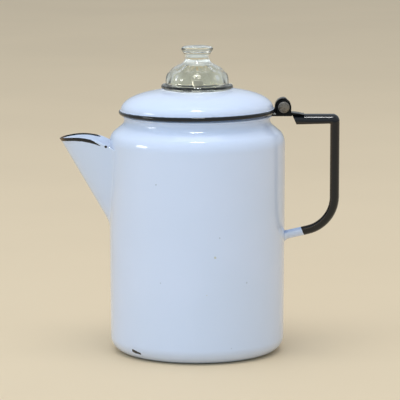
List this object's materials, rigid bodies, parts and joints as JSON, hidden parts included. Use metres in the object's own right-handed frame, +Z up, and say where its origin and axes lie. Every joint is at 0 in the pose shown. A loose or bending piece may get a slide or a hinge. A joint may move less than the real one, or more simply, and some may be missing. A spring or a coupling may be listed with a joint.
{
  "type": "coffee percolator",
  "caption": "Enamelled steel stove-top coffee percolator with a V spout, channel handle, hinged domed lid, clear glass knob, pump tube and perforated basket.",
  "frame": {"origin": "middle of the flat base, on the axis of the pot", "axes": "+Z up along the pot's axis, -X towards the spout, +X towards the handle, hinge pin along Y"},
  "size_m": [0.2248, 0.142, 0.2475],
  "materials": {
    "white_enamel": "glossy white vitreous enamel with a cool cast",
    "black_enamel": "glossy black vitreous enamel",
    "clear_glass": "clear pressed glass, very slightly straw coloured",
    "spun_aluminium": "spun satin aluminium",
    "bare_steel": "dull worn steel"
  },
  "bodies": {
    "pot": {"pot_body": "white_enamel", "spout": "white_enamel", "handle": "black_enamel", "hinge_bracket": "black_enamel", "hinge_pin": "bare_steel", "hinge_washer_front": "bare_steel", "hinge_washer_rear": "bare_steel"},
    "lid": {"lid_shell": "white_enamel", "lid_skirt": "white_enamel", "lid_hinge_tab": "black_enamel"},
    "knob": {"glass_knob": "clear_glass"},
    "pump": {"pump_tube": "spun_aluminium", "pump_foot": "spun_aluminium", "valve_seat": "spun_aluminium", "basket_stop": "spun_aluminium"},
    "valve": {"valve_disc": "bare_steel"},
    "basket": {"basket_cup": "spun_aluminium", "basket_sleeve": "spun_aluminium"},
    "spreader": {"spreader_plate": "spun_aluminium", "spreader_collar": "spun_aluminium"}
  },
  "joints": [
    {"name": "lid_hinge", "type": "hinge", "parent": "pot", "child": "lid", "pos_m": [0.0696, 0, 0.1984], "axis": [0, 1, 0], "range_deg": [0, 100]},
    {"name": "knob_turn", "type": "hinge", "parent": "lid", "child": "knob", "pos_m": [0, 0, 0.2127], "axis": [0, 0, 1], "range_deg": [0, 60]},
    {"name": "pump_lift", "type": "slide", "parent": "pot", "child": "pump", "axis": [0, 0, 1], "range_m": [0, 0.005]},
    {"name": "valve_lift", "type": "slide", "parent": "pump", "child": "valve", "axis": [0, 0, 1], "range_m": [0, 0.0015]},
    {"name": "basket_lift", "type": "slide", "parent": "pump", "child": "basket", "axis": [0, 0, 1], "range_m": [0, 0.006]},
    {"name": "spreader_lift", "type": "slide", "parent": "basket", "child": "spreader", "axis": [0, 0, 1], "range_m": [0, 0.006]}
  ]
}
